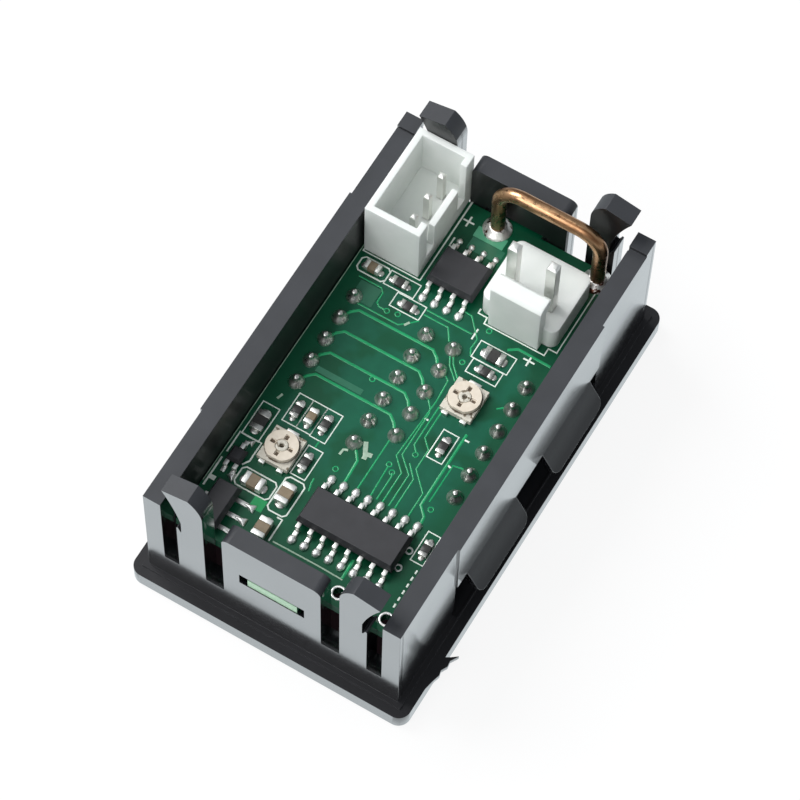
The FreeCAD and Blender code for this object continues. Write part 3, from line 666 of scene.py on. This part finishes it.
# %% Broad joints of the regulator and the transistor
low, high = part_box("regulator_leads")
middle = (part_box("regulator")[0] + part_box("regulator")[1]) / 2
fan_joint = joint("fan_joint", [(0.52, 0.0), (0.5, 0.12), (0.36, 0.24), (0.1, 0.32)], 3)
edge = fan_joint.modifiers.new("edge", "BEVEL")
edge.width = 0.07 * mm
edge.segments = 3
apply_all(fan_joint)
bpy.ops.object.shade_smooth()
fan_pitch_mm = 1.5
fans = [(middle.x + k * fan_pitch_mm * mm, low.y - 0.2 * mm, board_top) for k in (-1, 0, 1)]
placed(fan_joint, "regulator_joints", fans, "meter", [], [(1, 2.0, 1)] * 3)
low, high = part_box("transistor_leads")
fans = [(low.x, low.y + 0.1 * mm, board_top), (high.x + 0.05 * mm, low.y + 0.3 * mm, board_top)]
placed(fan_joint, "transistor_joints", fans, "meter", [], [(1.1, 1, 1), (0.8, 0.9, 1)])
print("broad joint:", len(fan_joint.data.polygons), "faces")

# %% [markdown]
# Chip resistors and capacitors have a low joint past each end, where the solder has run out from
# under the tinned cap. The drop of the chips' leads does for them too, flattened and as wide as
# the part.

# %% Low joints of the resistors and capacitors
middle_share = 0.46
overhang_mm = 0.1
drop_width_mm = 1.2
along, flat = 0.65, 0.4
wide_drops = []
shapes = []
for name in sorted(nodes):
    if name.startswith(("resistor_", "capacitor_")) and not name.endswith("terminals"):
        low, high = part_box(name)
        size = high - low
        half = min(size.x, size.y) / middle_share / 2
        across = max(size.x, size.y) / (drop_width_mm * mm)
        middle = (low + high) / 2
        for side in (-1, 1):
            shift = side * (half + overhang_mm * mm)
            if size.x < size.y:
                wide_drops.append((middle.x + shift, middle.y, board_top))
                shapes.append((along, across, flat))
            else:
                wide_drops.append((middle.x, middle.y + shift, board_top))
                shapes.append((across, along, flat))
lead_drop.data.materials[0] = dull_solder
placed(lead_drop, "part_joints", wide_drops, "meter", [], shapes)
print("joints of the small parts:", len(wide_drops))

for model in (pin_joint, shunt_joint, lead_drop, fan_joint):
    bpy.data.objects.remove(model)

# %% [markdown]
# ## Tracks and printed marks
#
# Tracks are copper strips 0.035 mm thick under the mask, and the white marks are screen-printed
# ink, thinner still. Both are drawn as curves that follow a few corner points, made round with a
# bevel, and then pressed flat, which leaves the soft rounded ends that etched and printed
# lines have.

# %% Flat lines from corner points
def flat_lines(name, paths, width, height, finish, closed=False, lift=0.0):
    """Strips along corner points, in millimetres, lying on the board."""
    shape = bpy.data.curves.new(name, "CURVE")
    shape.dimensions = "3D"
    shape.bevel_depth = width / 2 * mm
    shape.bevel_resolution = 2
    shape.use_fill_caps = True
    for path in paths:
        line = shape.splines.new("POLY")
        line.points.add(len(path) - 1)
        for point, (x, y) in zip(line.points, path):
            point.co = (x * mm, y * mm, 0, 1)
        line.use_cyclic_u = closed
    piece = bpy.data.objects.new(name, shape)
    scene.collection.objects.link(piece)
    piece.scale.z = height / width * 2
    only(piece)
    bpy.ops.object.convert(target="MESH")
    piece = bpy.context.object
    piece.location.z = board_top + lift * mm
    bpy.ops.object.transform_apply(location=True, scale=True)
    bpy.ops.object.shade_smooth_by_angle(angle=math.radians(40))
    piece.data.materials.clear()
    piece.data.materials.append(finish)
    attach(piece, "meter")
    print(name, "has", len(paths), "lines and", len(piece.data.polygons), "faces")
    return piece


# %% [markdown]
# Four wide tracks leave the outer pins of one display, jog to one side, run across the board
# and end at the inner pins of the other display. A bundle of fine tracks runs from the
# inner pins down to the controller's leads.

# %% Tracks
cross_tracks = []
for k in range(4):
    x = 4.06 - k * pitch / mm
    cross_tracks.append([(x + 0.3, 9.0), (x + 1.0, 8.55), (x + 1.55, 7.95), (x + 1.55, 0.1),
                         (x + 1.0, -0.6), (x + 0.3, -1.1)])
flat_lines("cross_tracks", cross_tracks, 0.3, 0.05, track_green)

fine_tracks = [
    [(6.17, 8.8), (6.17, 4.2), (6.6, 3.6), (7.5, 2.7)],
    [(8.67, 9.8), (8.67, 7.4), (8.25, 7.0), (7.15, 6.95), (6.87, 6.6), (6.87, 6.0)],
    [(8.3, 2.67), (8.3, 0.1), (7.1, -0.7)], [(8.83, 2.67), (8.83, -2.1)],
    [(10.5, -0.4), (10.42, -1.17), (8.6, -2.8), (7.5, -2.75), (6.85, -3.1)],
    [(6.2, -1.7), (5.3, -2.2), (4.1, -3.4)], [(5.9, -1.5), (5.0, -2.0), (3.9, -3.2)],
    [(4.2, -1.8), (3.6, -2.65), (1.2, -2.8), (-5.25, -2.47), (-6.5, -3.75), (-9.9, -3.75)],
    [(1.5, -1.7), (0.35, -2.7), (-0.2, -2.87), (-4.9, -2.87), (-6.33, -4.42), (-9.9, -4.42)],
    [(0.9, -3.3), (-3.5, -3.3), (-4.1, -3.85)], [(-5.3, -3.9), (-6.5, -5.0), (-9.9, -5.0)],
    [(0.9, -3.75), (-2.4, -3.75), (-3.3, -4.67), (-5.5, -4.67), (-7.25, -6.42), (-9.9, -6.42)],
    [(-9.9, -3.17), (-7.3, -3.17), (-6.95, -3.05)], [(-9.9, -2.53), (-6.6, -2.4)],
    [(-9.9, -1.17), (-4.0, -1.17)],
    [(-7.67, -7.33), (-3.5, -7.33), (-3.3, -8.3)], [(-12.33, 2.42), (-11.6, 2.62), (-11.0, 2.67)],
    [(-8.33, 4.17), (-7.6, 4.17)], [(3.4, -7.8), (4.0, -8.5)],
]
flat_lines("fine_tracks", fine_tracks, 0.17, 0.04, track_green)

wide_tracks = [
    [(-9.9, 0.13), (-7.5, 0.25), (-6.4, 1.1)], [(9.08, -5.67), (9.67, -6.5), (9.6, -9.9)],
    [(-9.9, -7.75), (-9.17, -7.67), (-8.33, -6.83), (-0.2, -6.83)], [(-18.1, -4.5), (-16.0, -4.45)],
]
flat_lines("wide_tracks", wide_tracks, 0.28, 0.045, track_green)

# %% [markdown]
# Wider copper areas, which carry the supply, show as flat rectangles with square corners, each a little
# paler or greyer than the board round it. The brighter rectangle is painted light, a brighter pool on
# the board.

# %% Copper areas and a painted pool of light
def areas(name, boxes, height, finish):
    """Flat rectangles with soft edges on the board, in millimetres, shaped from one cube."""
    bpy.ops.object.select_all(action="DESELECT")
    bpy.ops.mesh.primitive_cube_add(size=1)
    model = bpy.context.object
    bpy.ops.object.mode_set(mode="EDIT")
    bpy.ops.mesh.select_all(action="SELECT")
    bpy.ops.mesh.bevel(offset=0.03, segments=2, affect="EDGES")
    bpy.ops.object.mode_set(mode="OBJECT")
    model.data.materials.append(finish)
    middles = [((a + c) / 2 * mm, (b + d) / 2 * mm, board_top) for a, b, c, d in boxes]
    sizes = [((c - a) * mm, (d - b) * mm, height * 2 * mm) for a, b, c, d in boxes]
    placed(model, name, middles, "meter", [], sizes)
    bpy.data.objects.remove(model)
    print(name, "has", len(boxes), "rectangles")


areas("pale_areas", [(17.7, -0.1, 18.9, 3.0)], 0.02, pale_copper)
areas("grey_areas", [(16.3, -0.5, 17.66, 2.9), (-1.75, 3.4, -1.15, 8.2), (6.4, 7.2, 8.45, 9.4)],
      0.015, grey_copper)
# A brighter rectangle: painted light on the board.
areas("painted_light_areas", [(-16.35, 4.98, -15.12, 6.25)], 0.02, painted_light_green)
areas("ink_block", [(-15.8, 10.2, -15.35, 10.85)], 0.03, legend_ink)

# %% [markdown]
# Where a track changes to the other side of the board it passes a via, a tiny plated hole whose
# rim stands a little proud under the mask. Two larger bare rings lie at the near edge, tinned
# and open, for test probes.

# %% Vias and test rings
def ring(name, places, radius, rim, height, finish, lift=0.0):
    """Flat rings, in millimetres, at places on the board or lifted above it."""
    bpy.ops.object.select_all(action="DESELECT")
    bpy.ops.mesh.primitive_torus_add(major_radius=radius * mm, minor_radius=rim * mm,
                                     major_segments=28, minor_segments=8)
    model = bpy.context.object
    bpy.ops.object.shade_smooth()
    model.data.materials.append(finish)
    squash = height / rim
    level = board_top + lift * mm
    piece = placed(model, name, [(x * mm, y * mm, level) for x, y in places], "meter", [],
                   [(1, 1, squash)] * len(places))
    bpy.data.objects.remove(model)
    return piece


via_places = [(6.87, 5.75), (7.08, 4.72), (5.9, -2.8), (-6.9, -3.0), (-6.33, -2.37), (-4.3, -3.9),
              (-9.2, 1.5), (-8.25, -7.83), (0.2, 3.3), (9.9, -3.3)]
ring("vias", via_places, 0.24, 0.07, 0.03, track_green)
ring("test_rings", [(-19.4, -4.95), (-19.4, -9.855)], 0.61, 0.13, 0.07, solder)
ring("half_rings", [(-14.6, -8.2), (-12.7, -8.2)], 0.3, 0.1, 0.05, solder)
print("vias:", len(via_places))

# %% [markdown]
# White boxes are printed round the chip resistors, with square corners, and round the larger
# capacitors, with cut-off ones. Lines mark where the connectors and the small transistor sit,
# and plus and minus signs mark the polarity. The board's lettering is left bare.

# %% Printed boxes
cut_corner = 0.3
square_boxes = [
    (-10.5, 8.83, -6.75, 10.58), (-7.5, 6.7, -4.38, 8.17), (-7.5, 5.2, -4.38, 6.7),
    (-7.58, 3.63, -4.38, 5.2), (-11.62, 3.28, -8.42, 4.78), (-13.37, -10.0, -10.17, -8.72),
    (-3.92, -6.38, -0.8, -4.8), (7.5, 2.8, 9.05, 5.87), (9.17, 4.37, 10.72, 7.5),
    (5.27, -6.58, 6.8, -3.47), (6.83, -6.88, 8.72, -3.17),
]
outlines = [[(a, b), (c, b), (c, d), (a, d)] for a, b, c, d in square_boxes]
cut_boxes = [(-15.08, 5.07, -13.13, 8.7), (-15.7, 2.87, -11.97, 4.83), (9.17, 7.5, 10.72, 10.5)]
for a, b, c, d in cut_boxes:
    r = cut_corner
    outlines.append([(a + r, b), (c - r, b), (c, b + r), (c, d - r), (c - r, d), (a + r, d),
                     (a, d - r), (a, b + r)])
flat_lines("printed_boxes", outlines, 0.16, 0.03, legend_ink, closed=True)

# %% [markdown]
# The lines that aren't closed: the bracket beside the header, the long one round the socket, the
# corner lines, the polarity signs and a row of short dashes at the near edge.

# %% Printed lines
printed = [
    [(21.0, 4.78), (11.15, 4.78), (11.15, 10.83), (11.6, 10.83)],
    [(11.5, -1.5), (11.0, -1.5), (11.0, -2.45), (10.33, -2.5), (10.33, -8.8), (11.13, -8.8),
     (11.13, -9.67), (18.42, -9.67), (18.42, -9.1)],
    [(15.7, 3.85), (15.7, 4.3), (16.67, 4.3)],
    [(18.78, 3.45), (18.78, 4.6)], [(18.2, 4.03), (19.36, 4.03)],
    [(9.12, -8.5), (9.12, -7.35)], [(8.54, -7.92), (9.7, -7.92)], [(8.35, -2.33), (9.55, -2.33)],
    [(-16.6, 10.83), (-13.4, 10.83)],
    [(-12.75, 10.75), (-10.45, 10.75), (-10.45, 8.5), (-12.5, 8.5), (-13.15, 8.9)],
    [(-18.3, 2.95), (-15.95, 2.95), (-15.95, 3.5)],
    [(-0.75, -2.65), (-0.75, -3.15)], [(-0.75, -6.9), (-0.75, -7.4)], [(-3.8, -7.25), (-3.7, -6.9)],
]
printed += [[(-18.1 + 0.75 * k, -9.8), (-17.7 + 0.75 * k, -9.8)] for k in range(6)]
flat_lines("printed_lines", printed, 0.18, 0.03, legend_ink)

# %% [markdown]
# The board isn't new. Its mask is scuffed where a tool slipped, most of all beside the
# controller, and its sawn edge shows along the wall as a thin pale line.

# %% Scuffs and the pale edge
scuffs = [[(-7.8, 1.95), (-7.2, 1.9), (-7.05, 1.5)], [(6.4, 3.65), (6.9, 3.35)],
          [(-5.9, 9.65), (-5.3, 9.45)]]
flat_lines("scuffs", scuffs, 0.24, 0.02, scuffed_mask, lift=0.035)
broad_scuffs = [[(-6.4, 0.1), (-5.9, 0.35), (-5.5, 0.55)], [(-7.1, -0.15), (-6.7, -0.1), (-6.4, 0.1)],
                [(-6.6, 0.0), (-6.5, -0.3), (-6.45, -0.65)]]
flat_lines("broad_scuffs", broad_scuffs, 0.44, 0.02, scuffed_mask, lift=0.035)
edge = [[(-16.2, 11.1), (-9.0, 11.07), (-8.5, 11.1), (0.0, 11.08), (5.0, 11.05), (11.8, 11.07)]]
flat_lines("pale_edge", edge, 0.08, 0.02, scuffed_mask)
flat_lines("pale_inner_edge", [[(-18.15, 2.6), (-18.1, -2.0), (-18.15, -4.6)]], 0.14, 0.02,
           scuffed_mask)

# %% [markdown]
# Each trimmer's disc has a cross slot. Its arms, a few ticks beside them and its middle get dark brown
# marks at the slot floor, which are painted shade of the slot, and these marks ride with the disc, so
# they turn with it. A dark ring where the disc's edge meets the base is painted shade under the disc,
# and stays.

# %% Painted shade in the slots and round the discs
base_rise = (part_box("trimmer_rotor_1")[0].z - board_top) / mm + 0.02
rotor_places = [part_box(f"trimmer_rotor_{number}") for number in (1, 2)]
middles = [((low.x + high.x) / 2 / mm, (low.y + high.y) / 2 / mm) for low, high in rotor_places]
# A dark ring at the foot of each disc: painted shade under the disc's edge.
ring("disc_painted_shade", middles, 1.57, 0.06, 0.03, painted_shade_brown, base_rise)
flat_shift = 0.06
slot_depth = 0.22
for number, body in ((1, "current_trimmer"), (2, "voltage_trimmer")):
    x, y = middles[number - 1]
    x -= flat_shift
    arms = [[(x + u * 0.72, y + v * 0.72), (x + u * 1.08, y + v * 1.08)]
            for u, v in ((1, 0), (-1, 0), (0, 1), (0, -1))]
    arms += [[(x + 1.0, y - 0.15), (x + 1.0, y + 0.15)], [(x - 0.15, y + 1.0), (x + 0.15, y + 1.0)]]
    arms.append([(x + flat_shift - 0.05, y), (x + flat_shift + 0.05, y)])
    above = (rotor_places[number - 1][1].z - board_top) / mm - slot_depth
    # Dark brown marks at the slot floor: painted shade of the recessed slot.
    slot_painted_shade = flat_lines(f"trimmer_painted_shade_{number}", arms, 0.3, 0.03, painted_shade_brown, lift=above)
    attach(slot_painted_shade, body)

# %% [markdown]
# ## The table and the light
#
# The meter lies on a white table under large soft lights. Everything round a glossy black object shows
# in it, so the table and the sky count as much as the lamps: the sky gives an even fill, and one large
# lamp from behind and above shapes the top faces. The table is white paper that glows a little to the
# eye and in reflections, and not onto the object, so that it looks white and still carries a soft
# shadow. In reflections its glow is a cool blue-white, a painted reflection tint on the glossy walls.

# %% Table
glow_share = 0.88
table_white, tree, shader = new_finish("table_white", "#fbfbfb", 0.6)
tree.links.new(blend_colours(tree, patches(tree, 40.0), "#fafafa", "#fdfdfd"),
               shader.inputs["Base Color"])
rays = add(tree, "ShaderNodeLightPath")
seen = add(tree, "ShaderNodeMath", {0: rays.outputs["Is Camera Ray"], 1: rays.outputs["Is Glossy Ray"]},
           operation="MAXIMUM")
seen = add(tree, "ShaderNodeMath", {0: seen.outputs[0], 1: rays.outputs["Is Transmission Ray"]},
           operation="MAXIMUM")
share = add(tree, "ShaderNodeMath", {0: seen.outputs[0], 1: glow_share}, operation="MULTIPLY")
# The glow is white to the eye and a cool blue-white in reflections: a painted reflection tint.
glow_white_cool_in_reflections = blend_colours(tree, rays.outputs["Is Camera Ray"], "#eef7fb", "#ffffff")
white = add(tree, "ShaderNodeEmission", {"Color": glow_white_cool_in_reflections, "Strength": 1.0})
mixed = add(tree, "ShaderNodeMixShader", {0: share.outputs[0], 1: shader.outputs[0],
                                          2: white.outputs[0]})
tree.links.new(mixed.outputs[0], tree.nodes["Material Output"].inputs["Surface"])
bpy.ops.object.select_all(action="DESELECT")
bpy.ops.mesh.primitive_plane_add(size=3.0, location=(0, 0, -0.02 * mm))
table = bpy.context.object
table.name = "table"
table.data.materials.append(table_white)
print("table is", round(table.dimensions.x, 2), "m wide")

# %% [markdown]
# The key lamp is large and hangs behind and above the meter, where it shapes the top faces and
# shines in the solder. A weaker lamp in front and to the left opens the shadows.

# %% Light
world = bpy.data.worlds.new("studio")
scene.world = world
world.use_nodes = True
sky = world.node_tree.nodes["Background"]
sky.inputs["Color"].default_value = colour("#f0f6fc")
sky.inputs["Strength"].default_value = 0.42


def lamp(name, place, size, power, towards=(0, 0, 0)):
    """A square soft lamp that faces a point."""
    bpy.ops.object.light_add(type="AREA", location=place)
    made = bpy.context.object
    made.name = name
    made.data.size = size
    made.data.energy = power
    aim = Vector(towards) - Vector(place)
    made.rotation_euler = aim.to_track_quat("-Z", "Y").to_euler()
    return made


lamp("key", (0.0, 0.6, 0.75), 0.6, 8.0)
lamp("front", (-0.6, 0.1, 0.6), 0.6, 3.2)

# %% [markdown]
# ## Finish
#
# The picture's view transform is set to Standard, so that colours come out as written.

# %% Finish
scene.view_settings.view_transform = "Standard"
